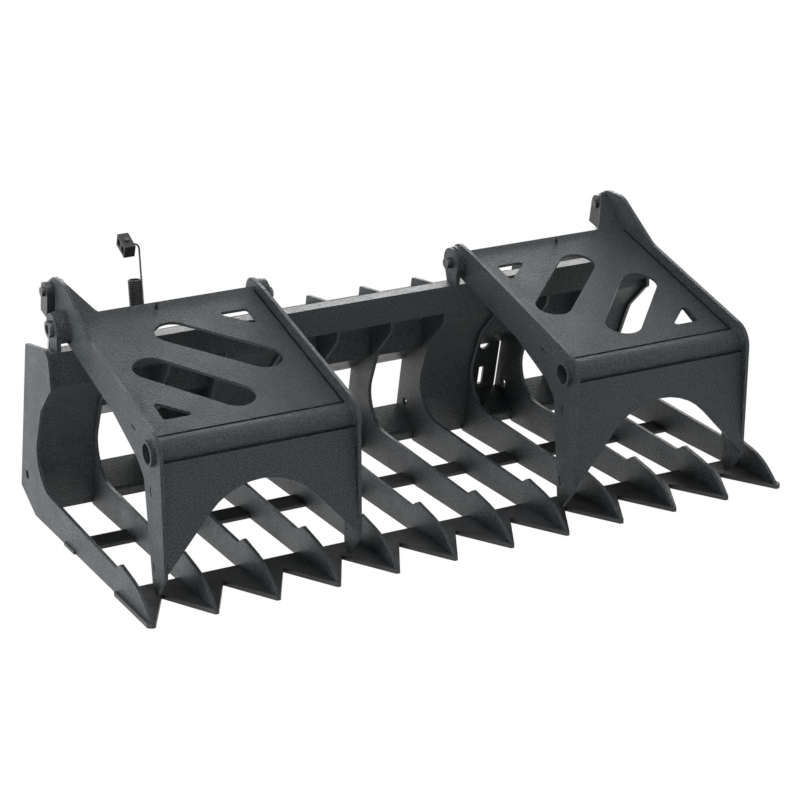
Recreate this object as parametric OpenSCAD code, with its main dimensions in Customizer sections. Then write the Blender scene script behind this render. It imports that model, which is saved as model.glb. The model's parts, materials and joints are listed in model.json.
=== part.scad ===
// Skid steer root grapple with two lids, 72 inch class, millimetres.
// X runs across the width, Y from the tine tips back to the loader, Z up from the cutting edge.
// The origin is the middle of the footprint, on the ground.

/* [Tines] */
// Distance between neighbouring tines
tine_pitch = 163.7; // [158:0.1:170]
// Thickness of the tines and side plates
tine_t = 9.5; // [8:0.5:12]
// Depth of a tine from its tip to its lowest rear corner
tine_depth = 997; // [960:1:1030]
// Height of the upper rear corner of a tine
tine_height = 499; // [495:1:504]
// Lean of the rear edge from upright
rear_lean = 17.7; // [16:0.1:19]
// Radius of the throat between floor and back
throat_r = 90; // [80:1:100]
// Centre of the throat ahead of the lowest rear corner
throat_in = 259; // [250:1:268]
// Height of the throat floor
throat_z = 98; // [92:1:104]
// Diameter of the cylinder pin hole cut in every tine
tine_hole_d = 26; // [26:0.2:28]

/* [Edges and bars] */
// Thickness of the toothed cutting edge
edge_t = 12; // [10:0.5:14]
// Width of the cutting edge from tooth tip to rear edge
edge_w = 241; // [220:1:255]
// Depth of the valleys between the teeth
edge_valley = 161; // [140:1:170]
// Overhang of the cutting edge past the side plates
edge_overhang = 9.5; // [6:0.5:14]
// Thickness of the mid bar
bar_t = 9.5; // [8:0.5:12]
// Width of the mid bar
bar_w = 80; // [70:1:90]
// Distance from the tine tips to the mid bar
bar_y = 558; // [540:1:575]
// Height of the top beam
beam_h = 76; // [70:1:80]
// Depth of the top beam
beam_d = 53; // [50:1:56]
// Wall of the top beam
beam_wall = 6; // [4:0.5:8]
// Front face of the top beam ahead of the lowest rear corner of the tines
beam_in = 338; // [329:1:347]
// Underside of the top beam
beam_z = 440; // [436:1:444]

/* [Plates] */
// Thickness of the rear sill and the torque box plates
sill_t = 8; // [6:0.5:10]
// Thickness of the guard plates
guard_t = 5; // [4:0.5:6]
// Thickness of the quick attach plate
coupler_t = 9.5; // [8:0.5:12]
// Distance between the two wedge pin slots
wedge_span = 1030; // [1020:1:1036]
// Width of the quick attach plate past the middle of each slot
coupler_edge = 50; // [46:1:52]
// Width of a wedge pin slot
wedge_w = 16; // [14:1:20]
// Length of a wedge pin slot
wedge_h = 61; // [50:1:66]
// Diameter of the round hole above each slot
coupler_hole_d = 30; // [26:1:34]
// Width of each leg of the quick attach plate
coupler_leg = 170; // [140:1:190]
// Length of the hook lip
hook_l = 42; // [34:1:46]

/* [Lids] */
// Clear width between the two arms of a lid
lid_w = 512; // [506:1:516]
// Slope of the top plate when the lid is shut
lid_slope = 16.6; // [16:0.1:17.2]
// Distance from the hinge to the front crease of the top plate
lid_reach = 584.6; // [570:0.5:600]
// Height of the top plate over the hinge axis, square to the plate
lid_rise = 23.5; // [23:0.1:25]
// Thickness of the lid plates
lid_t = 8; // [6:0.5:8]
// Thickness of the lid arms
arm_t = 9.5; // [8:0.5:12]
// Height of the arms over the top plate
arm_proud = 30; // [24:1:34]
// Depth of the arms under the hinge axis, square to the plate
arm_drop = 45.5; // [42:0.5:46]
// Radius of the arm ends around the hinge
tail_r = 48; // [46.5:0.5:52]
// Distance of the arm fronts ahead of the front plate
arm_nose = 23; // [18:1:28]
// Outer diameter of the front tube
tube_d = 66; // [62:1:70]
// Wall of the front tube
tube_wall = 7; // [5:0.5:9]
// Length of tube past each arm
tube_stub = 13; // [8:1:18]
// Height of the leg tips over the ground
leg_gap = 16; // [14:1:22]
// Width of the diagonal slots in the top plate
slot_w = 100; // [90:1:104]
// Radius of the top of the front arch
arch_r = 183; // [170:1:195]
// Height of the top of the front arch
arch_top = 297; // [285:1:305]
// Width of the raised strip along the rear of the top plate
rim_w = 16; // [14:1:20]

/* [Hinges and cylinders] */
// Hinge axis behind the front face of the beam
hinge_back = 26; // [24:0.5:28]
// Hinge axis above the top of the beam
hinge_up = 59; // [58.5:0.5:62]
// Diameter of the hinge, rod and base pins
pin_d = 25; // [24:0.2:25.4]
// Running clearance of pins and pistons on the radius
fit_gap = 0.3; // [0.2:0.05:0.4]
// Side clearance between faces that turn past each other
side_gap = 0.4; // [0.3:0.1:0.6]
// Radius of the hinge ears
ear_r = 41; // [39:0.5:44]
// Thickness of the hinge ears
ear_t = 12; // [10:1:14]
// Outer diameter of the arm hubs
hub_d = 86; // [78:1:90]
// Length of the hubs on the outer arms
hub_l = 28; // [24:1:30]
// Length of the hubs on the inner arms
inner_hub_l = 16; // [12:1:20]
// Length of the collars on the outer hinge pins
collar_l = 12; // [10:0.5:14]
// Diameter of the heads of the inner hinge pins
pin_head_d = 30; // [28:0.5:33]
// Rod pin behind the hinge axis
rod_pin_back = 100; // [97:0.5:103]
// Rod pin above the hinge axis
rod_pin_up = 73; // [71:0.5:75]
// Base pin ahead of the lowest rear corner
base_pin_in = 65; // [62:1:68]
// Height of the base pin
base_pin_z = 105; // [103:0.5:107]
// Outer diameter of the cylinder barrel
barrel_d = 64; // [60:1:66]
// Bore of the cylinder barrel
barrel_bore = 50.8; // [48:0.1:52]
// Diameter of the cylinder rod
rod_d = 32; // [28:1:34]
// Width of the rod clevis across the cylinder
clevis_w = 50; // [46:1:52]
// Width of the rod clevis along the pin
clevis_x = 52; // [48:1:54]
// Outer diameter of the base eye
eye_d = 66; // [64:0.5:67]
// Bore of the base eye, wide enough for the drift of the lid linkage
eye_bore = 50; // [49:0.5:51]
// Outer diameter of the base pin spacers
spacer_d = 38; // [34:1:42]
// Outer diameter of a port boss
port_d = 34; // [30:1:36]
// Bore of a port
port_bore = 17.5; // [14:0.5:20]

/* [Hose support] */
// Outer diameter of the support spring
spring_d = 40; // [36:1:42]
// Wire of the support spring
wire_d = 5; // [4:0.5:6]
// Length of the hose clamp
clamp_l = 58; // [56:1:64]
// Width of the hose clamp along the hoses
clamp_w = 30; // [26:1:34]
// Bore for a hose
hose_d = 20; // [18:0.5:22]
// Thickness of the clamp cover plates
cover_t = 3; // [2:0.5:4]

/* [Hidden] */
tine_count = 12;
left = -1;
right = 1;
bend_steps = 6;

paint = [0.25, 0.27, 0.28];
paint_dark = [0.17, 0.18, 0.19];
steel = [0.60, 0.61, 0.62];
black = [0.08, 0.08, 0.09];

// Key lines of the frame, measured from the tine tips
rear_foot = [tine_depth, 57];
lean_dir = [-sin(rear_lean), cos(rear_lean)];
rear_top = rear_foot + lean_dir * (tine_height - rear_foot[1]) / lean_dir[1];
coupler_foot = 24;
beam_y = tine_depth - beam_in;
mid_y = (rear_foot[0] + coupler_t * cos(rear_lean) - coupler_foot * sin(rear_lean)) / 2;
side_x = (tine_count - 1) / 2 * tine_pitch;
bay_w = tine_pitch - tine_t;
beam_top = beam_z + beam_h;
beam_rear = beam_y + beam_d;
sill_crease = [rear_foot[0] - 114, 34];
base_pin = [rear_foot[0] - base_pin_in, base_pin_z];

// Lid frame: origin on the hinge axis, s back along the plate, n square to it
hinge = [beam_y + hinge_back, beam_top + hinge_up];
s_dir = [cos(lid_slope), sin(lid_slope)];
n_dir = [-sin(lid_slope), cos(lid_slope)];
function lid_point(s, n) = hinge + s_dir * s + n_dir * n;
lid_x = 3.5 * tine_pitch;
arm_off = lid_w / 2 + arm_t / 2;
inner_x = lid_x - arm_off;
outer_x = lid_x + arm_off;
tube_r = tube_d / 2;
tube_at = lid_point(-lid_reach, lid_rise) + s_dir * -21.4 + n_dir * (10.7 - tube_r);
face_y = tube_at[0] - tube_r;
face_top = tube_at[1] - sqrt(tube_r * tube_r - (tube_r - lid_t) * (tube_r - lid_t));
end_r = lid_rise + arm_proud;
crease_s = lid_reach - 12.6;
rim_rise = 14;
rod_pin = hinge + [rod_pin_back, rod_pin_up];

// Cylinder line from the base pin to the rod pin, lid shut
link = rod_pin - base_pin;
link_l = norm(link);
link_lean = atan2(-link[0], link[1]);
ear_out = arm_t / 2 + hub_l + side_gap;
inner_ear_out = arm_t / 2 + inner_hub_l + side_gap;
clevis_slot = arm_t + 2 * side_gap;
slot_floor = 54;
clevis_foot = 68;
gland_at = 345;
gland_l = 22;
barrel_foot = 26;
plug_l = 24;
piston_back = 360;
piston_l = 26;
eye_w = 50;

// Points of a closed outline whose corners [y, z, r] are rounded by r
function unit(v) = v / norm(v);
function corner(a, b, c, r) =
  r == 0 ? [b] :
  let (
    u = unit(a - b),
    w = unit(c - b),
    half = acos(max(-1, min(1, u * w))) / 2,
    m = b + unit(u + w) * r / sin(half),
    p = b + u * r / tan(half) - m,
    q = b + w * r / tan(half) - m,
    start = atan2(p[1], p[0]),
    turn = (atan2(q[1], q[0]) - start + 540) % 360 - 180,
    steps = max(2, ceil(abs(turn) / 180 * 3 * bend_steps))
  )
  [for (i = [0:steps]) m + r * [cos(start + turn * i / steps), sin(start + turn * i / steps)]];
function at(c, i) = [c[i][0], c[i][1]];
function rounded(c) =
  let (n = len(c))
  [for (i = [0:n - 1]) each corner(at(c, (i + n - 1) % n), at(c, i), at(c, (i + 1) % n), c[i][2])];

// Outline of a bent sheet of thickness t on the left of an open path of [y, z, r]
function bent_path(c) =
  let (n = len(c))
  [for (i = [0:n - 1])
    each (i == 0 || i == n - 1 ? [at(c, i)] : corner(at(c, i - 1), at(c, i), at(c, i + 1), c[i][2]))];
function side_of(a, b) = let (d = unit(b - a)) [-d[1], d[0]];
function sheet(p, t) =
  let (
    n = len(p),
    off = [for (i = [0:n - 1])
      let (
        a = side_of(p[max(0, i - 1)], p[max(1, i)]),
        b = side_of(p[min(n - 2, i)], p[min(n - 1, i + 1)]),
        m = unit(a + b)
      )
      p[i] + m * t / (m * a)]
  )
  concat(p, [for (i = [n - 1:-1:0]) off[i]]);

module place() {
  translate([0, -mid_y, 0]) children();
}
module on_side(side) {
  mirror([side < 0 ? 1 : 0, 0, 0]) children();
}
// A plate square to X, centred on x, with its outline in Y and Z
module plate_at(x, t, points) {
  translate([x - t / 2, 0, 0]) rotate([90, 0, 90]) linear_extrude(t) polygon(points);
}
// A round bar along X between x0 and x1, centred on c in Y and Z
module bar_x(x0, x1, c, d, facets = 48) {
  translate([x0, c[0], c[1]]) rotate([0, 90, 0]) cylinder(h = x1 - x0, d = d, $fn = facets);
}
// Moves to a point of the cylinder line, with Z along it towards the rod
module on_link(u) {
  translate([outer_x, base_pin[0], base_pin[1]]) rotate([link_lean, 0, 0]) translate([0, 0, u])
    children();
}

// Outline shared by tines and side plates, from the tip round to the notch for the beam
throat = [tine_depth - throat_in, throat_z + throat_r];
front_run = [
  [8, edge_t, 0],
  [75, throat_z - 27, 190],
  [206, throat_z - 4, 12],
  [244, throat_z - 26, 30],
  [throat[0] + 8, throat[1] - throat_r, 0],
];
function throat_arc() =
  [for (i = [0:2 * bend_steps])
    let (a = -85 + 115 * i / (2 * bend_steps)) throat + throat_r * [cos(a), sin(a)]];
back_run = [
  [beam_y + 112, beam_z - 127, 30],
  [beam_y + 98, beam_z - 104, 40],
  [beam_y + 10, beam_z - 31, 16],
];
floor_run = [
  [rear_foot[0], rear_foot[1], 6],
  [rear_foot[0] - 108, 0, 10],
  [bar_y + bar_w, 0, 0],
  [bar_y + bar_w, bar_t, 0],
  [bar_y, bar_t, 0],
  [bar_y, 0, 0],
  [edge_w, 0, 0],
  [edge_w, edge_t, 0],
];
inner_top = [
  [beam_y, beam_z, 0],
  [beam_rear, beam_z, 0],
  [beam_rear, beam_top - 2, 0],
  [rear_top[0], rear_top[1], 10],
];
outer_top = [
  [beam_y - 5, beam_z - 25, 14],
  [beam_y - 5, beam_top - 14, 14],
  [beam_y + 16, beam_top + 5, 16],
  [beam_rear - 8, beam_top + 5, 20],
  [rear_top[0] - 14, rear_top[1] + 1, 10],
];
function tine_outline(top) =
  rounded(concat(
    front_run,
    [for (p = throat_arc()) [p[0], p[1], 0]],
    back_run,
    top,
    floor_run
  ));

module tine(x, top) {
  difference() {
    plate_at(x, tine_t, tine_outline(top));
    bar_x(x - tine_t, x + tine_t, base_pin, tine_hole_d);
  }
}
module inner_tine(i) {
  color(paint) place() tine((i - (tine_count + 1) / 2) * tine_pitch, inner_top);
}
module side_plate(side) {
  color(paint) place() tine(side * side_x, outer_top);
}

// Floor bars
module cutting_edge() {
  end = side_x + tine_t / 2;
  half = end + edge_overhang;
  valleys = [for (i = [1:tine_count - 1])
    let (x = -side_x + (i - 0.5) * tine_pitch)
    each [[x - bay_w / 2, 0], [x, edge_valley], [x + bay_w / 2, 0]]];
  color(paint_dark) place() linear_extrude(edge_t)
    polygon(concat(
      [[-half, edge_w], [-half, edge_overhang], [-end, 0]],
      valleys,
      [[end, 0], [half, edge_overhang], [half, edge_w]]
    ));
}
module mid_bar() {
  half = side_x + tine_t / 2;
  color(paint_dark) place() translate([-half, bar_y, 0]) cube([2 * half, bar_w, bar_t]);
}
// One piece of a bent sheet in each named bay, between the faces of its tines
module bay_sheets(bays, t, path) {
  for (i = bays) {
    plate_at(-side_x + (i - 0.5) * tine_pitch, bay_w, sheet(bent_path(path), t));
  }
}
module rear_sill() {
  color(paint) place() bay_sheets([1:tine_count - 1], sill_t, [
    [rear_foot[0] - 12, rear_foot[1] + 30, 0],
    [sill_crease[0], sill_crease[1], 10],
    [sill_crease[0] + 7, 6, 0],
  ]);
}
module torque_box() {
  color(paint) place() difference() {
    bay_sheets([2:tine_count - 2], sill_t, [
      [rear_top[0] + 16, rear_top[1] - 22, 0],
      [beam_y + 142, beam_z - 50, 20],
      [beam_y + 150, beam_z - 136, 20],
      [rear_foot[0] - 40, 226, 0],
    ]);
    on_rear_plane() translate([-side_x, 0, 0]) cube([2 * side_x, 80, tine_height]);
  }
}
module guard_plates() {
  color(paint) place() bay_sheets([1, 4, 8, 11], guard_t, [
    [beam_y + 18, beam_z - guard_t / 3, 0],
    [beam_y + 25, beam_z - 28, 12],
    [beam_y + 105, beam_z - 100, 30],
    [beam_y + 125, beam_z - 130, 30],
    [throat[0] + throat_r + 4, throat[1] + 30, 60],
    [throat[0] + throat_r + 22, throat[1] - 60, 60],
    [sill_crease[0] - guard_t, sill_crease[1] - 4, 0],
  ]);
}
module top_beam() {
  half = side_x - tine_t / 2;
  color(paint) place() difference() {
    translate([-half, beam_y, beam_z]) cube([2 * half, beam_d, beam_h]);
    translate([-half - 1, beam_y + beam_wall, beam_z + beam_wall])
      cube([2 * half + 2, beam_d - 2 * beam_wall, beam_h - 2 * beam_wall]);
  }
}

// Loader side: a plate on the rear edges of the tines, with a hook lip along its top
coupler_w = wedge_span + 2 * coupler_edge;
coupler_band = 187;
coupler_top = norm(rear_top - rear_foot) - 52;
lip_root = 3;
module on_rear_plane() {
  translate([0, rear_foot[0], rear_foot[1]]) rotate([rear_lean, 0, 0]) children();
}
module quick_attach_plate() {
  half = coupler_w / 2;
  leg = half - coupler_leg;
  outline = [
    [-half, coupler_foot, 12],
    [-leg, coupler_foot, 12],
    [-leg, coupler_band, 30],
    [leg, coupler_band, 30],
    [leg, coupler_foot, 12],
    [half, coupler_foot, 12],
    [half, coupler_top, 0],
    [-half, coupler_top, 0],
  ];
  color(paint_dark) place() on_rear_plane() difference() {
    translate([0, coupler_t, 0]) rotate([90, 0, 0]) linear_extrude(coupler_t) polygon(rounded(outline));
    for (side = [left, right]) {
      translate([side * wedge_span / 2 - wedge_w / 2, -1, 44]) cube([wedge_w, coupler_t + 2, wedge_h]);
      translate([side * wedge_span / 2, -1, 183]) rotate([-90, 0, 0])
        cylinder(h = coupler_t + 2, d = coupler_hole_d, $fn = 48);
    }
  }
}
module hook_lip() {
  drop = hook_l * cos(45);
  color(paint_dark) place() on_rear_plane() plate_at(0, coupler_w, [
    [0, coupler_top],
    [coupler_t, coupler_top],
    [coupler_t, coupler_top + lip_root],
    [coupler_t + drop, coupler_top + lip_root - drop],
    [coupler_t + drop + 7, coupler_top + lip_root - drop + 7],
    [coupler_t + 4, coupler_top + lip_root + 10],
    [0, coupler_top + lip_root + 10],
  ]);
}

// Hinges: one ear on the beam beside each arm
module hinge_ear(x) {
  difference() {
    union() {
      plate_at(x, ear_t, [
        hinge + [-ear_r, 0],
        [beam_y, beam_top],
        [beam_rear, beam_top],
        hinge + [ear_r, 0],
      ]);
      bar_x(x - ear_t / 2, x + ear_t / 2, hinge, 2 * ear_r, 64);
    }
    bar_x(x - ear_t, x + ear_t, hinge, pin_d + 2 * fit_gap);
  }
}
module hinge_ears_outer(side) {
  color(paint) place() on_side(side) hinge_ear(outer_x + ear_out + ear_t / 2);
}
module hinge_ears_inner(side) {
  color(paint) place() on_side(side) hinge_ear(inner_x - inner_ear_out - ear_t / 2);
}
pin_recess = 4;
pin_head_l = 17;
module hinge_pins() {
  outer_end = outer_x + ear_out + ear_t + collar_l - pin_recess;
  inner_end = inner_x - inner_ear_out - ear_t;
  color(steel) place() for (side = [left, right]) on_side(side) {
    bar_x(outer_x - arm_t / 2, outer_end, hinge, pin_d);
    union() {
      bar_x(inner_end - 1, inner_x + arm_t / 2 + 4, hinge, pin_d);
      bar_x(inner_end - pin_head_l, inner_end, hinge, pin_head_d);
    }
  }
}
module hinge_pin_collars() {
  x0 = outer_x + ear_out + ear_t;
  color(steel) place() for (side = [left, right]) on_side(side) difference() {
    bar_x(x0, x0 + collar_l, hinge, pin_d + 19);
    bar_x(x0 - 1, x0 + collar_l + 1, hinge, pin_d);
  }
}

// Cylinder mounting at the foot of the frame
module base_pins() {
  color(steel) place() for (side = [left, right]) on_side(side)
    bar_x(side_x - tine_pitch - tine_t / 2 - 5, side_x + tine_t / 2, base_pin, pin_d);
}
module base_pin_spacers() {
  color(steel) place() for (side = [left, right]) on_side(side) {
    base_spacer(side_x - tine_pitch + tine_t / 2, outer_x - eye_w / 2 - side_gap);
    base_spacer(outer_x + eye_w / 2 + side_gap, side_x - tine_t / 2);
  }
}
module base_spacer(x0, x1) {
  difference() {
    bar_x(x0, x1, base_pin, spacer_d);
    bar_x(x0 - 1, x1 + 1, base_pin, pin_d);
  }
}

// Hydraulic cylinder
module port(u) {
  translate([0, barrel_d / 2 - 6, u]) rotate([-90, 0, 0]) cylinder(h = 22, d = port_d, $fn = 32);
}
module port_hole(u) {
  translate([0, barrel_bore / 2 - 4, u]) rotate([-90, 0, 0]) cylinder(h = 40, d = port_bore, $fn = 32);
}
port_low = 78;
port_high = gland_at - 30;
module barrel(side) {
  color(paint_dark) place() on_side(side) on_link(0) difference() {
    union() {
      rotate([0, 90, 0]) cylinder(h = eye_w, d = eye_d, center = true, $fn = 64);
      translate([0, 0, barrel_foot]) cylinder(h = gland_at - barrel_foot, d = barrel_d, $fn = 64);
      port(port_low);
      port(port_high);
    }
    rotate([0, 90, 0]) cylinder(h = eye_w + 2, d = eye_bore, center = true, $fn = 64);
    translate([0, 0, barrel_foot + plug_l]) cylinder(h = gland_at, d = barrel_bore, $fn = 64);
    port_hole(port_low);
    port_hole(port_high);
  }
}
module gland(side) {
  color(steel) place() on_side(side) on_link(gland_at) difference() {
    union() {
      translate([0, 0, -20]) cylinder(h = 20, d = barrel_bore, $fn = 64);
      cylinder(h = gland_l, d = barrel_d + 4, $fn = 64);
    }
    translate([0, 0, -21]) cylinder(h = gland_l + 22, d = rod_d + 2 * fit_gap, $fn = 48);
  }
}
module rod(side) {
  color(steel) place() on_side(side) on_link(link_l - piston_back)
    cylinder(h = piston_back - clevis_foot, d = rod_d, $fn = 48);
}
module piston(side) {
  color(black) place() on_side(side) on_link(link_l - piston_back - piston_l)
    cylinder(h = piston_l, d = barrel_bore - 2 * fit_gap, $fn = 64);
}
module clevis(side) {
  color(paint_dark) place() on_side(side) on_link(link_l) difference() {
    union() {
      translate([-clevis_x / 2, -clevis_w / 2, -clevis_foot]) cube([clevis_x, clevis_w, clevis_foot]);
      rotate([0, 90, 0]) cylinder(h = clevis_x, d = clevis_w, center = true, $fn = 64);
    }
    translate([-clevis_slot / 2, -clevis_w, -slot_floor])
      cube([clevis_slot, 2 * clevis_w, slot_floor + clevis_w]);
    rotate([0, 90, 0]) cylinder(h = clevis_x + 2, d = pin_d, center = true, $fn = 48);
  }
}
module rod_pin(side) {
  reach = clevis_x / 2 + 9;
  color(steel) place() on_side(side) bar_x(outer_x - reach, outer_x + reach, rod_pin, pin_d);
}

// Lid arms: a bar along the top plate, a claw leg at the front and, outside, the rod pin ear
arm_front = [
  [face_y - arm_nose - 3, lid_point(-lid_reach - 60, end_r)[1] + 4, 60],
  [face_y + 4, 85, 12],
  [face_y + 76, leg_gap, 7],
  [face_y + 93, leg_gap + 31, 6],
  [face_y + 99, tube_at[1] - 84, 18],
  [face_y + 136, tube_at[1] - 46, 60],
];
function corner_on_lid(s, n, r) = let (p = lid_point(s, n)) [p[0], p[1], r];
arm_lower = [corner_on_lid(240 - lid_reach, -arm_drop, 160)];
function round_end(a0, a1, r) =
  [for (i = [0:3 * bend_steps])
    let (a = a0 + (a1 - a0) * i / (3 * bend_steps)) [hinge[0] + r * cos(a), hinge[1] + r * sin(a), 0]];
tail_start = lid_slope - 180 + asin(arm_drop / tail_r);
inner_tail = concat(round_end(tail_start, 80 + lid_slope, tail_r), [corner_on_lid(-60, end_r, 90)]);
outer_tail = concat(
  round_end(tail_start, 4, tail_r),
  [
    [hinge[0] + 66, hinge[1] + 9, 10],
    [rod_pin[0] + 22, rod_pin[1] - 42, 26],
    [rod_pin[0] + 40, rod_pin[1] + 14, 26],
    [rod_pin[0] - 24, rod_pin[1] + 42, 50],
    [hinge[0] - 5, rod_pin[1] + 40, 80],
    corner_on_lid(-155, end_r, 90),
  ]
);
tab_slots = [[116, 32, lid_slope], [25, -106, 85], [43, -310, 80]];
module arm(x, tail) {
  difference() {
    plate_at(x, arm_t, rounded(concat(arm_front, arm_lower, tail)));
    bar_x(x - arm_t, x + arm_t, tube_at, tube_d, 64);
    bar_x(x - arm_t, x + arm_t, hinge, pin_d + 2 * fit_gap);
    bar_x(x - arm_t, x + arm_t, rod_pin, pin_d + 2 * fit_gap);
    for (p = tab_slots) {
      translate([x, tube_at[0] + p[0], tube_at[1] + p[1]]) rotate([p[2], 0, 0])
        cube([2 * arm_t, 26, 6], center = true);
    }
  }
}
module outer_arm(side) {
  color(paint) place() on_side(side) arm(outer_x, outer_tail);
}
module inner_arm(side) {
  color(paint) place() on_side(side) arm(inner_x, inner_tail);
}
module hub(x0, l) {
  difference() {
    bar_x(x0, x0 + l, hinge, hub_d, 64);
    bar_x(x0 - 1, x0 + l + 1, hinge, pin_d + 2 * fit_gap);
  }
}
module arm_hubs(side) {
  color(paint) place() on_side(side) {
    hub(outer_x + arm_t / 2, hub_l);
    hub(inner_x - arm_t / 2 - inner_hub_l, inner_hub_l);
  }
}
module front_tube(side) {
  x0 = inner_x - arm_t / 2 - tube_stub;
  x1 = outer_x + arm_t / 2 + tube_stub;
  color(paint) place() on_side(side) difference() {
    bar_x(x0, x1, tube_at, tube_d, 64);
    bar_x(x0 - 1, x1 + 1, tube_at, tube_d - 2 * tube_wall, 64);
  }
}

// Top plate, drawn flat: x across, y back from the front crease
slot_runs = [[[27, 440], [-148, 262]], [[142, 297], [-13, 120]]];
corner_holes = [
  [[-199, 494], [-110, 494], [-199, 410]],
  [[199, 71], [199, 156], [111, 71]],
];
function half_round(c, start) =
  [for (i = [0:4 * bend_steps])
    let (a = start + 180 * i / (4 * bend_steps)) c + slot_w / 2 * [cos(a), sin(a)]];
function slot_outline(a, b) =
  let (turn = atan2(b[1] - a[1], b[0] - a[0]))
  concat(half_round(a, turn + 90), half_round(b, turn - 90));
module on_lid_plane() {
  front = lid_point(-lid_reach, lid_rise);
  translate([lid_x, front[0], front[1]]) rotate([lid_slope, 0, 0]) children();
}
gusset_l = rod_pin_back - 2;
rim_dir = [cos(rim_rise), sin(rim_rise)];
rim_end = [crease_s, 0] + rim_dir * (gusset_l + 1);
lid_profile = [
  [0, 0],
  [0, -lid_t],
  [crease_s + lid_t * tan(rim_rise / 2), -lid_t],
  rim_end + lid_t * [rim_dir[1], -rim_dir[0]],
  rim_end,
  [crease_s, 0],
];
module top_plate(side) {
  half = lid_w / 2;
  color(paint) place() on_side(side) difference() {
    on_lid_plane() difference() {
      plate_at(0, lid_w, lid_profile);
      translate([0, 0, -2 * lid_t]) linear_extrude(3 * lid_t) {
        for (run = slot_runs) polygon(slot_outline(run[0], run[1]));
        for (c = corner_holes) polygon(rounded([for (p = c) [p[0], p[1], 9]]));
      }
      translate([0, crease_s, 0]) rotate([rim_rise, 0, 0]) translate([0, 0, -2 * lid_t])
        linear_extrude(3 * lid_t) polygon([
          [-half - 1, rim_w],
          [half - 77, rim_w],
          [half - 23, gusset_l],
          [half + 1, gusset_l - 12.5],
          [half + 1, gusset_l + 4],
          [-half - 1, gusset_l + 4],
        ]);
    }
    bar_x(inner_x, outer_x, tube_at, tube_d, 64);
  }
}
module front_plate(side) {
  half = lid_w / 2;
  lean = 49;
  peak = arch_top + arch_r * (1 / cos(lean) - 1);
  foot = peak - half * tan(lean);
  color(paint) place() on_side(side) translate([lid_x, face_y + lid_t, 0]) rotate([90, 0, 0])
    linear_extrude(lid_t) polygon(rounded([
      [-half, face_top, 0],
      [-half, foot, 0],
      [0, peak, arch_r],
      [half, foot, 0],
      [half, face_top, 0],
    ]));
}
module grease_fitting(side) {
  color(black) place() on_side(side) on_lid_plane() translate([27, crease_s - 8, 0]) {
    cylinder(h = 9, d = 9, $fn = 24);
    translate([0, 0, 9]) cylinder(h = 8, d1 = 6, d2 = 4, $fn = 24);
  }
}

// Hose support: a bracket behind the beam, a close wound spring with a long tail, and a twin clamp
spring_at = [-617, beam_rear + 48];
spring_top = beam_top + 136;
tail_bend = 14;
clamp_at = [-635, beam_rear + 48, beam_top + 228];
clamp_tilt = 26;
clamp_h = 28;
coil_r = (spring_d - wire_d) / 2;
coils = floor((spring_top - beam_top) / wire_d);
module hose_bracket() {
  color(paint) place() {
    translate([spring_at[0] - 25, beam_rear, beam_top - 6])
      cube([50, spring_at[1] - beam_rear + 25, 6]);
    translate([spring_at[0] - 3, beam_rear, beam_top - 50])
      rotate([90, 0, 90]) linear_extrude(6) polygon([[0, 0], [0, 44], [60, 44]]);
    translate([spring_at[0], spring_at[1], beam_top])
      cylinder(h = 20, d = spring_d - 2 * wire_d - 1, $fn = 32);
  }
}
function coil_ridge(i) =
  let (z = i * wire_d)
  [
    [coil_r + wire_d * 0.2, z],
    [coil_r + wire_d / 2, z + wire_d * 0.3],
    [coil_r + wire_d / 2, z + wire_d * 0.7],
  ];
module hose_spring() {
  tail_x = spring_at[0] + coil_r;
  color(black) place() {
    translate([spring_at[0], spring_at[1], beam_top]) rotate_extrude($fn = 48)
      polygon(concat(
        [[coil_r - wire_d / 2, 0]],
        [for (i = [0:coils - 1]) each coil_ridge(i)],
        [[coil_r + wire_d * 0.2, coils * wire_d], [coil_r - wire_d / 2, coils * wire_d]]
      ));
    translate([tail_x, spring_at[1], spring_top - 20])
      cylinder(h = clamp_at[2] - tail_bend - spring_top + 20, d = wire_d, $fn = 24);
    translate([tail_x - tail_bend, spring_at[1], clamp_at[2] - tail_bend]) rotate([90, 0, 0])
      rotate_extrude(angle = 90, $fn = 48) translate([tail_bend, 0]) circle(d = wire_d, $fn = 24);
    translate([clamp_at[0] + clamp_w / 2 - 8, clamp_at[1], clamp_at[2]]) rotate([0, 90, 0])
      cylinder(h = tail_x - tail_bend - clamp_at[0] - clamp_w / 2 + 8, d = wire_d, $fn = 24);
  }
}
module at_clamp() {
  translate(clamp_at) rotate([clamp_tilt, 0, 0]) children();
}
module clamp_halves() {
  gap = 0.6;
  color(black) place() at_clamp() difference() {
    for (side = [left, right]) {
      translate([-clamp_w / 2, -clamp_l / 2, side < 0 ? -clamp_h / 2 : gap / 2])
        cube([clamp_w, clamp_l, clamp_h / 2 - gap / 2]);
    }
    for (y = [-clamp_l / 4, clamp_l / 4]) {
      translate([0, y, 0]) rotate([0, 90, 0]) cylinder(h = clamp_w + 2, d = hose_d, center = true, $fn = 48);
    }
    cylinder(h = clamp_h + 2, d = 8, center = true, $fn = 32);
    rotate([0, 90, 0]) translate([0, 0, clamp_w / 2 - 8]) cylinder(h = 9, d = wire_d, $fn = 24);
  }
}
module clamp_covers() {
  color(black) place() at_clamp() difference() {
    for (z = [-clamp_h / 2 - cover_t, clamp_h / 2]) {
      translate([-clamp_w / 2, -clamp_l / 2, z]) cube([clamp_w, clamp_l, cover_t]);
    }
    cylinder(h = clamp_h + 4 * cover_t, d = 8, center = true, $fn = 32);
  }
}
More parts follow.
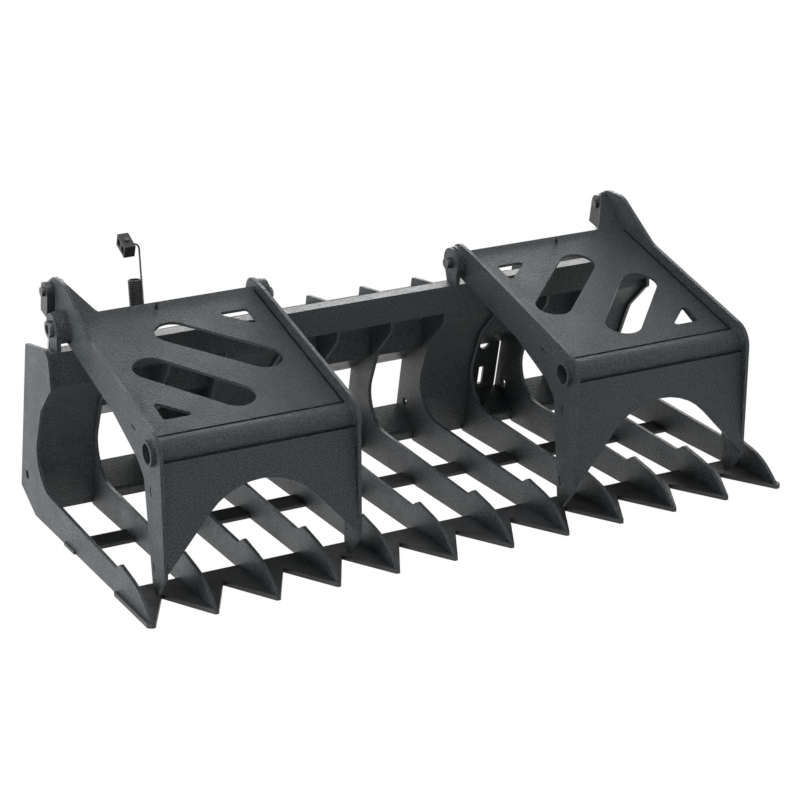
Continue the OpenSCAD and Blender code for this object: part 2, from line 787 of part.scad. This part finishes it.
module clamp_bolt() {
  color(steel) place() at_clamp() {
    translate([0, 0, -clamp_h / 2 - cover_t]) cylinder(h = clamp_h + 2 * cover_t, d = 8, $fn = 32);
    translate([0, 0, clamp_h / 2 + cover_t]) cylinder(h = 5, d = 14, $fn = 6);
  }
}

side_plate(left);  // side_plate_left
side_plate(right);  // side_plate_right
inner_tine(2);  // tine_02
inner_tine(3);  // tine_03
inner_tine(4);  // tine_04
inner_tine(5);  // tine_05
inner_tine(6);  // tine_06
inner_tine(7);  // tine_07
inner_tine(8);  // tine_08
inner_tine(9);  // tine_09
inner_tine(10);  // tine_10
inner_tine(11);  // tine_11
cutting_edge();
mid_bar();
rear_sill();
top_beam();
torque_box();
quick_attach_plate();
hook_lip();
guard_plates();
hinge_ears_outer(left);  // hinge_ears_outer_left
hinge_ears_outer(right);  // hinge_ears_outer_right
hinge_ears_inner(left);  // hinge_ears_inner_left
hinge_ears_inner(right);  // hinge_ears_inner_right
hinge_pins();
hinge_pin_collars();
base_pins();
base_pin_spacers();
barrel(left);  // barrel_left
barrel(right);  // barrel_right
gland(left);  // gland_left
gland(right);  // gland_right
rod(left);  // rod_left
rod(right);  // rod_right
clevis(left);  // clevis_left
clevis(right);  // clevis_right
piston(left);  // piston_left
piston(right);  // piston_right
rod_pin(left);  // rod_pin_left
rod_pin(right);  // rod_pin_right
outer_arm(left);  // outer_arm_left
outer_arm(right);  // outer_arm_right
inner_arm(left);  // inner_arm_left
inner_arm(right);  // inner_arm_right
top_plate(left);  // top_plate_left
top_plate(right);  // top_plate_right
front_tube(left);  // front_tube_left
front_tube(right);  // front_tube_right
front_plate(left);  // front_plate_left
front_plate(right);  // front_plate_right
arm_hubs(left);  // arm_hubs_left
arm_hubs(right);  // arm_hubs_right
grease_fitting(left);  // grease_fitting_left
grease_fitting(right);  // grease_fitting_right
hose_bracket();
hose_spring();
clamp_halves();
clamp_covers();
clamp_bolt();
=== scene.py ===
"""Looks of a root grapple for a skid steer loader: textured charcoal powder coat, chromed rods,
plated pins and a wound wire hose support, in metres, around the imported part."""

import json
import math

import bmesh
import bpy
from mathutils import Matrix, Vector


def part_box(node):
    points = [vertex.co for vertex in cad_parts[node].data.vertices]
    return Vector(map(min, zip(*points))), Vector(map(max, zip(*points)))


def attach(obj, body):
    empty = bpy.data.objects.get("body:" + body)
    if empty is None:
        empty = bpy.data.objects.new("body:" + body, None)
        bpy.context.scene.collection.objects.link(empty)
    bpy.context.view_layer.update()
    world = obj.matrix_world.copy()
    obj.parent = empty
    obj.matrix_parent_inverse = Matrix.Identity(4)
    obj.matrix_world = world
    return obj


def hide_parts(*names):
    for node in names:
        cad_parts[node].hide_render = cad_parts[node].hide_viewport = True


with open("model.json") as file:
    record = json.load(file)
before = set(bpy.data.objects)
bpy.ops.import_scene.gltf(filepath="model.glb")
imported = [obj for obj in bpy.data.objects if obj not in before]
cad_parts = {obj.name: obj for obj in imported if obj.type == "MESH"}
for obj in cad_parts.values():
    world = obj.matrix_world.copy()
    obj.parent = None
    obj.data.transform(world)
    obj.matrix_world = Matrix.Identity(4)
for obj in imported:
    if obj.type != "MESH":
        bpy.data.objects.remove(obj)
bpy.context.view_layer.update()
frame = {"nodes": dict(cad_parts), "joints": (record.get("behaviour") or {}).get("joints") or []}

MM = 0.001


def add_object(name, data):
    """A new object in the scene."""
    thing = bpy.data.objects.new(name, data)
    bpy.context.scene.collection.objects.link(thing)
    return thing


# Camera, solved from the photograph

CAMERA_PLACE = Vector((-2.6478, -5.5334, 2.2986))
CAMERA_AZIMUTH = math.radians(-25.72)
CAMERA_ELEVATION = math.radians(18.256)
CAMERA_ROLL = math.radians(-2.223)
CAMERA_LENS = 107.86
CAMERA_SENSOR = 36
CAMERA_CLIP_END = 100


def camera_turn(azimuth, elevation, roll):
    """Rotation of a camera that looks at the object from that side."""
    back = Vector((
        math.sin(azimuth) * math.cos(elevation),
        -math.cos(azimuth) * math.cos(elevation),
        math.sin(elevation),
    ))
    level = Vector((math.cos(azimuth), math.sin(azimuth), 0))
    rise = back.cross(level)
    right = level * math.cos(roll) + rise * math.sin(roll)
    up = rise * math.cos(roll) - level * math.sin(roll)
    return Matrix((right, up, back)).transposed()


def add_camera():
    camera = bpy.data.cameras.new("camera")
    camera.lens = CAMERA_LENS
    camera.sensor_width = CAMERA_SENSOR
    camera.clip_end = CAMERA_CLIP_END
    holder = add_object("camera", camera)
    turn = camera_turn(CAMERA_AZIMUTH, CAMERA_ELEVATION, CAMERA_ROLL)
    holder.matrix_world = Matrix.Translation(CAMERA_PLACE) @ turn.to_4x4()
    bpy.context.scene.camera = holder


# Light and floor

WHITE = (1, 1, 1, 1)
SKY_COLOUR = (0.97, 0.98, 1, 1)
SKY_STRENGTH = 0.37
FLOOR_COLOUR = (0.82, 0.82, 0.82, 1)
FLOOR_SIZE = 30
FLOOR_Z = -0.6 * MM
LAMPS = [
    # name, place, what it is turned towards, width and height, watts
    ("left_lamp", (-3.6, 0.2, 1.1), (-0.5, -0.1, 0.1), (2.0, 1.0), 85),
    ("top_lamp", (-0.3, -0.7, 3.8), (0, 0, 0.3), (2.6, 2.6), 43),
    ("back_lamp", (2.4, 4.6, 1.7), (0, 0, 0.5), (4.0, 1.6), 90),
]


def add_lamp(name, place, aim, size, watts):
    """A soft lamp at place, turned towards aim."""
    lamp = bpy.data.lights.new(name, "AREA")
    lamp.shape = "RECTANGLE"
    lamp.size, lamp.size_y = size
    lamp.energy = watts
    holder = add_object(name, lamp)
    holder.location = place
    holder.rotation_mode = "QUATERNION"
    holder.rotation_quaternion = (Vector(aim) - Vector(place)).to_track_quat("-Z", "Y")


def white_to_camera(tree, seen_kind, lit_kind, output_kind, lit_colour, lit_strength=None):
    """Fills a node tree: white in the view and in gloss, and lit_colour as what lights the object."""
    tree.nodes.clear()
    seen = tree.nodes.new(seen_kind)
    seen.inputs["Color"].default_value = WHITE
    lit = tree.nodes.new(lit_kind)
    lit.inputs["Color"].default_value = lit_colour
    if lit_strength is not None:
        lit.inputs["Strength"].default_value = lit_strength
    path = tree.nodes.new("ShaderNodeLightPath")
    factor = path.outputs["Is Camera Ray"]
    for kind in ("Is Glossy Ray", "Is Transmission Ray"):
        either = tree.nodes.new("ShaderNodeMath")
        either.operation = "MAXIMUM"
        tree.links.new(factor, either.inputs[0])
        tree.links.new(path.outputs[kind], either.inputs[1])
        factor = either.outputs[0]
    mix = tree.nodes.new("ShaderNodeMixShader")
    tree.links.new(factor, mix.inputs["Fac"])
    tree.links.new(lit.outputs[0], mix.inputs[1])
    tree.links.new(seen.outputs[0], mix.inputs[2])
    output = tree.nodes.new(output_kind)
    tree.links.new(mix.outputs[0], output.inputs["Surface"])


def add_surroundings():
    world = bpy.data.worlds.new("studio")
    bpy.context.scene.world = world
    world.use_nodes = True
    white_to_camera(
        world.node_tree, "ShaderNodeBackground", "ShaderNodeBackground", "ShaderNodeOutputWorld",
        SKY_COLOUR, SKY_STRENGTH,
    )

    bpy.ops.mesh.primitive_plane_add(size=FLOOR_SIZE, location=(0, 0, FLOOR_Z))
    floor = bpy.context.object
    floor.name = "floor"
    pale = bpy.data.materials.new("floor")
    pale.use_nodes = True
    white_to_camera(
        pale.node_tree, "ShaderNodeEmission", "ShaderNodeBsdfDiffuse", "ShaderNodeOutputMaterial",
        FLOOR_COLOUR,
    )
    floor.data.materials.append(pale)

    for lamp in LAMPS:
        add_lamp(*lamp)


# Finishes

NOISE_RANGE = (0.35, 0.65)
BEVEL_SAMPLES = 4
SHEET_EDGE = 1.2 * MM
MOULDED_EDGE = 0.8 * MM
TURNED_EDGE = 0.6 * MM


class Finish:
    """Node material in object coordinates, built up from noise layers."""

    def __init__(self, name, metallic=0.0, specular=0.5):
        self.material = bpy.data.materials.new(name)
        self.material.use_nodes = True
        self.tree = self.material.node_tree
        self.shader = self.tree.nodes["Principled BSDF"]
        self.shader.inputs["Metallic"].default_value = metallic
        self.shader.inputs["Specular IOR Level"].default_value = specular
        self.place = self.node("ShaderNodeTexCoord").outputs["Object"]
        self.rounded = self.node("ShaderNodeBevel")
        self.rounded.samples = BEVEL_SAMPLES
        self.normal = self.rounded.outputs["Normal"]

    def node(self, kind):
        return self.tree.nodes.new(kind)

    def join(self, output, target):
        self.tree.links.new(output, target)

    def noise(self, size, detail=2.0, stretch=(1, 1, 1)):
        """Noise with grains of about that size in metres."""
        spread = self.node("ShaderNodeMapping")
        spread.inputs["Scale"].default_value = stretch
        self.join(self.place, spread.inputs["Vector"])
        noise = self.node("ShaderNodeTexNoise")
        noise.inputs["Scale"].default_value = 1 / size
        noise.inputs["Detail"].default_value = detail
        self.join(spread.outputs["Vector"], noise.inputs["Vector"])
        return noise.outputs["Fac"]

    def spread(self, value, low, high, at=NOISE_RANGE):
        """Maps a value in the range at to low..high."""
        scale = self.node("ShaderNodeMapRange")
        scale.inputs["From Min"].default_value = at[0]
        scale.inputs["From Max"].default_value = at[1]
        scale.inputs["To Min"].default_value = low
        scale.inputs["To Max"].default_value = high
        self.join(value, scale.inputs["Value"])
        return scale.outputs["Result"]

    def colour(self, value, dark, light, at=NOISE_RANGE):
        """Base colour that runs from dark to light as value goes through the range at."""
        ramp = self.node("ShaderNodeValToRGB")
        for key, rgb in zip(ramp.color_ramp.elements, (dark, light)):
            key.color = (*rgb, 1)
        self.join(self.spread(value, 0, 1, at), ramp.inputs["Fac"])
        self.join(ramp.outputs["Color"], self.shader.inputs["Base Color"])

    def roughness(self, value, low, high):
        """Roughness that runs from low to high with value, and their mean where nodes aren't read."""
        socket = self.shader.inputs["Roughness"]
        socket.default_value = (low + high) / 2
        self.join(self.spread(value, low, high), socket)

    def bump(self, height, depth):
        """Relief of that depth in metres on top of what is there already."""
        bump = self.node("ShaderNodeBump")
        bump.inputs["Distance"].default_value = depth
        bump.inputs["Strength"].default_value = 1.0
        self.join(height, bump.inputs["Height"])
        self.join(self.normal, bump.inputs["Normal"])
        self.normal = bump.outputs["Normal"]

    def done(self, edge_radius):
        self.rounded.inputs["Radius"].default_value = edge_radius
        self.join(self.normal, self.shader.inputs["Normal"])
        return self.material


PEEL_RANGE = (0.42, 0.58)
FINE_PEEL = 0.4
FINE_RELIEF = 0.3
LATHE_MARK = 0.6 * MM
LATHE_STRETCH = (1, 0.1, 0.1)
LATHE_RELIEF = 0.02 * MM


def powder_coat(name, dark, light, grain, relief):
    """Textured powder coat: coarse orange peel whose crests are paler, over a fine one."""
    coat = Finish(name, specular=0.48)
    peel = coat.noise(grain)
    coat.colour(peel, dark, light, at=PEEL_RANGE)
    coat.roughness(coat.noise(90 * MM, detail=4), low=0.30, high=0.42)
    coat.bump(peel, relief)
    coat.bump(coat.noise(grain * FINE_PEEL), relief * FINE_RELIEF)
    return coat.done(SHEET_EDGE)


def worn_edge_steel(name, dark, light, grain, relief):
    """Powder coat on the cutting edge and mid bar, rubbed in places."""
    coat = Finish(name)
    peel = coat.noise(grain, detail=3)
    coat.colour(coat.noise(60 * MM, detail=5), dark, light)
    coat.roughness(peel, low=0.36, high=0.55)
    coat.bump(peel, relief)
    return coat.done(SHEET_EDGE)


def turned_steel(name, dark, light, roughness):
    """Bare or plated steel with fine lathe marks."""
    steel = Finish(name, metallic=1.0)
    marks = steel.noise(LATHE_MARK, stretch=LATHE_STRETCH)
    steel.colour(steel.noise(20 * MM, detail=4), dark, light)
    steel.roughness(marks, low=roughness * 0.8, high=roughness * 1.25)
    steel.bump(marks, LATHE_RELIEF)
    return steel.done(TURNED_EDGE)


def smooth_coat(name, dark, light, roughness, grain, relief, specular=0.5):
    """Paint, black oxide or moulded polymer with a fine grain."""
    coat = Finish(name, specular=specular)
    fine = coat.noise(grain, detail=3)
    coat.colour(coat.noise(30 * MM, detail=4), dark, light)
    coat.roughness(fine, low=roughness * 0.85, high=roughness * 1.15)
    coat.bump(fine, relief)
    return coat.done(MOULDED_EDGE)


finishes = {
    "powder_coat": powder_coat(
        "powder_coat", dark=(0.006, 0.010, 0.012), light=(0.048, 0.061, 0.070),
        grain=4.2 * MM, relief=5.0 * MM,
    ),
    "edge_steel": worn_edge_steel(
        "edge_steel", dark=(0.012, 0.013, 0.014), light=(0.034, 0.036, 0.038),
        grain=5.0 * MM, relief=1.4 * MM,
    ),
    "cylinder_paint": smooth_coat(
        "cylinder_paint", dark=(0.022, 0.023, 0.024), light=(0.034, 0.035, 0.037),
        roughness=0.38, grain=4.0 * MM, relief=0.15 * MM,
    ),
    "chromed_rod": turned_steel(
        "chromed_rod", dark=(0.62, 0.63, 0.64), light=(0.72, 0.73, 0.74), roughness=0.16
    ),
    "plated_steel": turned_steel(
        "plated_steel", dark=(0.07, 0.073, 0.076), light=(0.14, 0.143, 0.147), roughness=0.36
    ),
    "black_steel": smooth_coat(
        "black_steel", dark=(0.014, 0.014, 0.015), light=(0.024, 0.024, 0.025),
        roughness=0.40, grain=2.0 * MM, relief=0.08 * MM,
    ),
    "black_polymer": smooth_coat(
        "black_polymer", dark=(0.012, 0.012, 0.013), light=(0.020, 0.020, 0.021),
        roughness=0.52, grain=1.2 * MM, relief=0.10 * MM,
    ),
    "seam_shadow": smooth_coat(
        "seam_shadow", dark=(0.003, 0.003, 0.004), light=(0.007, 0.007, 0.008),
        roughness=0.80, grain=2.0 * MM, relief=0.05 * MM, specular=0.1,
    ),
}

SLOT_OF = {
    "edge_steel": ["cutting_edge", "mid_bar"],
    "cylinder_paint": ["barrel_left", "barrel_right", "clevis_left", "clevis_right"],
    "chromed_rod": ["rod_left", "rod_right"],
    "plated_steel": [
        "hinge_pins", "hinge_pin_collars", "base_pins", "base_pin_spacers", "rod_pin_left",
        "rod_pin_right", "gland_left", "gland_right", "clamp_bolt",
    ],
    "black_steel": [
        "hose_spring", "grease_fitting_left", "grease_fitting_right", "piston_left", "piston_right",
    ],
    "black_polymer": ["clamp_halves", "clamp_covers"],
}


def dress_nodes():
    """Gives every CAD node the finish of its slot; what isn't named is powder coated."""
    slot_of = {node: slot for slot, nodes in SLOT_OF.items() for node in nodes}
    for name, node in frame["nodes"].items():
        slot = slot_of.get(name, "powder_coat")
        node.data.materials.clear()
        node.data.materials.append(finishes[slot])


# Kinds of piece


def add_piece(name, data, finish, body):
    """A piece with one finish that moves with a body of the part."""
    piece = add_object(name, data)
    piece.data.materials.append(finishes[finish])
    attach(piece, body)
    return piece


def round_bars(name, runs, radius, resolution, narrow=1.0):
    """Curve of round bars through runs of points, where every second point is narrow times as thick."""
    curve = bpy.data.curves.new(name, "CURVE")
    curve.dimensions = "3D"
    curve.bevel_depth = radius
    curve.bevel_resolution = resolution
    curve.use_fill_caps = True
    for run in runs:
        spline = curve.splines.new("POLY")
        spline.points.add(len(run) - 1)
        for i, (key, point) in enumerate(zip(spline.points, run)):
            key.co = (*point, 1)
            key.radius = 1.0 if i % 2 else narrow
    return curve


def mesh_of(name, shape):
    """Mesh from a bmesh, which it frees."""
    mesh = bpy.data.meshes.new(name)
    shape.to_mesh(mesh)
    shape.free()
    return mesh


def prism(name, outline, depth):
    """Mesh of a flat plate: a closed outline of points, thickened by the vector depth."""
    shape = bmesh.new()
    near = [shape.verts.new(point) for point in outline]
    far = [shape.verts.new(point + depth) for point in outline]
    shape.faces.new(near[::-1])
    shape.faces.new(far)
    for i, vert in enumerate(near):
        shape.faces.new((near[i - 1], vert, far[i], far[i - 1]))
    bmesh.ops.recalc_face_normals(shape, faces=shape.faces)
    return mesh_of(name, shape)


# Wound wire hose support

WIRE = 5 * MM
COIL_POINTS = 24
COIL_TOP = 651 * MM
TAIL_BEND = 14 * MM
BEND_STEPS = 8
TAIL_IN_CLAMP = 8 * MM
WIRE_SMOOTH = 3


def arc(centre, across, along, start, end, steps):
    """Points of an arc in the plane of two vectors, whose lengths are its radius."""
    angles = [start + (end - start) * i / steps for i in range(steps + 1)]
    return [centre + across * math.cos(a) + along * math.sin(a) for a in angles]


def add_hose_spring():
    """A close wound spring on the bracket, whose wire goes on up and bends into the clamp."""
    low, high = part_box("hose_spring")
    clamp_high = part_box("clamp_halves")[1]
    tail_x = high.x - WIRE / 2
    coil_r = (high.x - low.x) / 2 - WIRE / 2
    centre = Vector((tail_x - coil_r, low.y + coil_r + WIRE / 2, low.z + WIRE / 2))
    coil_height = COIL_TOP - WIRE / 2 - centre.z
    turns = int(coil_height / WIRE)
    pitch = coil_height / turns
    points = []
    for i in range(turns * COIL_POINTS + 1):
        turn = 2 * math.pi * i / COIL_POINTS
        lift = pitch * i / COIL_POINTS
        points.append(centre + Vector((coil_r * math.cos(turn), coil_r * math.sin(turn), lift)))
    wire_z = high.z - WIRE / 2
    bend = Vector((tail_x - TAIL_BEND, centre.y, wire_z - TAIL_BEND))
    points += arc(
        bend, Vector((TAIL_BEND, 0, 0)), Vector((0, 0, TAIL_BEND)), 0, math.pi / 2, BEND_STEPS
    )
    points.append(Vector((clamp_high.x - TAIL_IN_CLAMP, centre.y, wire_z)))
    curve = round_bars("hose_spring_wire", [points], WIRE / 2, WIRE_SMOOTH)
    wire = add_piece("hose_spring_wire", curve, "black_steel", "frame")
    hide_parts("hose_spring")


# Cylinder base pins

PIN_SUNK = 7 * MM
PIN_PAST = 5 * MM
PIN_SIDES = 48


def add_base_pins():
    """The base pins of both cylinders, whose outer ends lie a little way inside their holes."""
    low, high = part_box("base_pins")
    radius = (high.z - low.z) / 2
    inner_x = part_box("tine_11")[0].x - PIN_PAST
    outer_x = high.x - PIN_SUNK
    along_x = Matrix.Rotation(math.pi / 2, 4, "Y")
    shape = bmesh.new()
    for sign in (-1, 1):
        middle = Vector((sign * (inner_x + outer_x) / 2, (low.y + high.y) / 2, (low.z + high.z) / 2))
        bmesh.ops.create_cone(
            shape, cap_ends=True, segments=PIN_SIDES, radius1=radius, radius2=radius,
            depth=outer_x - inner_x, matrix=Matrix.Translation(middle) @ along_x,
        )
    for face in shape.faces:
        face.smooth = len(face.verts) == 4
    mesh = mesh_of("base_pins_sunk", shape)
    pins = add_piece("base_pins_sunk", mesh, "plated_steel", "frame")
    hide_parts("base_pins")


# Ends of the mid bar

BAR_PAST = 5 * MM


def add_bar_end(side, sign):
    """The end of the mid bar, which stands a little proud of the side plate."""
    low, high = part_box("mid_bar")
    corners = [(low.y, low.z), (high.y, low.z), (high.y, high.z), (low.y, high.z)]
    outline = [Vector((sign * high.x, y, z)) for y, z in corners]
    mesh = prism("mid_bar_end_" + side, outline, Vector((sign * BAR_PAST, 0, 0)))
    add_piece("mid_bar_end_" + side, mesh, "powder_coat", "frame")


# Welds of the lids and painted shade along their seams: s runs back along the top plate from the hinge, n
# square to it

LID_SLOPE = math.radians(16.6)
HINGE = Vector(next(j["pos_m"] for j in frame["joints"] if j["name"] == "right_lid_hinge"))
PLATE_TOP = 23.5 * MM
PLATE_CREASE = -12.6 * MM
TUBE_SN = (-606.0 * MM, 1.2 * MM)
TUBE_R = 33 * MM
HUB_SN = (0, 0)
HUB_R = 43 * MM
WELD_R = 2.6 * MM
WELD_SMOOTH = 1
RIPPLE = 2.5 * MM
RIPPLE_NARROW = 0.82
# The lines of painted shade in the seams take their radius, sinking and inset from the arms from here.
SHADE_LINE_R = 3.4 * MM
SEAM_S = -576.4 * MM
SHADE_LINE_SUNK = 1.3 * MM
SHADE_LINE_IN = 2.2 * MM
STITCHES = 3
STITCH_L = 20 * MM


def lid_point(x, s, n):
    """Point of the shut lid, x from the middle of the grapple."""
    along = Vector((0, math.cos(LID_SLOPE), math.sin(LID_SLOPE)))
    up = Vector((0, -math.sin(LID_SLOPE), math.cos(LID_SLOPE)))
    return Vector((x, HINGE.y, HINGE.z)) + along * s + up * n


def bead_line(start, end):
    """Points along a straight run, a ripple apart, for weld beads and for lines of painted shade."""
    count = max(2, round((end - start).length / RIPPLE))
    return [start.lerp(end, i / count) for i in range(count + 1)]


def bead_ring(x, s, n, radius):
    """Points of a weld bead round a tube or hub."""
    count = round(2 * math.pi * radius / RIPPLE)
    turns = [2 * math.pi * i / count for i in range(count + 1)]
    return [lid_point(x, s + radius * math.cos(a), n + radius * math.sin(a)) for a in turns]


def add_beads(name, runs, radius, finish, body):
    """Rippled beads along several runs of points, as one piece."""
    curve = round_bars(name, runs, radius, WELD_SMOOTH, narrow=RIPPLE_NARROW)
    add_piece(name, curve, finish, body)


def arm_faces(arm, side):
    """Distances of an arm's two faces from the middle of the grapple, the nearer one first."""
    return sorted(abs(corner.x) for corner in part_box(arm + side))


def add_lid_welds(side, sign):
    """Beads round the tube and hubs, painted shade as dark lines along the top plate's seams, stitches
    over the front one.
    """
    inner_out, inner_in = arm_faces("inner_arm_", side)
    outer_in, outer_out = arm_faces("outer_arm_", side)
    welds = [bead_ring(sign * x, *TUBE_SN, TUBE_R) for x in (inner_out, inner_in, outer_in, outer_out)]
    welds += [bead_ring(sign * x, *HUB_SN, HUB_R) for x in (inner_out, outer_out)]
    step = (outer_in - inner_in) / STITCHES
    proud = PLATE_TOP + WELD_R / 2
    for i in range(STITCHES):
        middle = inner_in + (i + 0.5) * step
        welds.append(bead_line(
            lid_point(sign * (middle - STITCH_L / 2), SEAM_S, proud),
            lid_point(sign * (middle + STITCH_L / 2), SEAM_S, proud),
        ))
    add_beads("lid_welds_" + side, welds, WELD_R, "powder_coat", side + "_lid")

    # Painted shade: near-black lines sunk into the top plate along the front seam and beside both arms,
    # where shade falls.
    sunk = PLATE_TOP - SHADE_LINE_SUNK
    shade_lines = [bead_line(lid_point(sign * inner_in, SEAM_S, sunk), lid_point(sign * outer_in, SEAM_S, sunk))]
    for x in (inner_in + SHADE_LINE_IN, outer_in - SHADE_LINE_IN):
        shade_lines.append(bead_line(
            lid_point(sign * x, SEAM_S, sunk), lid_point(sign * x, PLATE_CREASE, sunk)
        ))
    add_beads("lid_seam_shades_" + side, shade_lines, SHADE_LINE_R, "seam_shadow", side + "_lid")


# Gussets of the lids, whose places are y and z from the hinge

GUSSET_FOOT = (-2 * MM, 26.5 * MM)
GUSSET_TOP = (85 * MM, 104.5 * MM)
GUSSET_FOOT_W = 72 * MM
GUSSET_TOP_W = 12 * MM
GUSSET_LIP = 6 * MM
GUSSET_T = 6 * MM


def add_gusset(side, sign):
    """A plate that rises from the rear edge of the lid to the top of the rod pin ear."""
    arm_x = arm_faces("outer_arm_", side)[0]
    foot = Vector((0, HINGE.y + GUSSET_FOOT[0], HINGE.z + GUSSET_FOOT[1]))
    top = Vector((0, HINGE.y + GUSSET_TOP[0], HINGE.z + GUSSET_TOP[1]))
    rise = (top - foot).normalized()
    corners = [
        (foot, arm_x),
        (foot, arm_x - GUSSET_FOOT_W),
        (foot + rise * GUSSET_LIP, arm_x - GUSSET_FOOT_W),
        (top, arm_x - GUSSET_TOP_W),
        (top, arm_x),
    ]
    outline = [Vector((sign * x, corner.y, corner.z)) for corner, x in corners]
    depth = Vector((0, rise.z, -rise.y)) * GUSSET_T
    mesh = prism("lid_gusset_" + side, outline, depth)
    add_piece("lid_gusset_" + side, mesh, "powder_coat", side + "_lid")


def main():
    add_camera()
    add_surroundings()
    dress_nodes()
    add_hose_spring()
    add_base_pins()
    for side, sign in (("left", -1), ("right", 1)):
        add_lid_welds(side, sign)
        add_gusset(side, sign)
        add_bar_end(side, sign)
    bpy.context.scene.view_settings.view_transform = "Standard"


main()
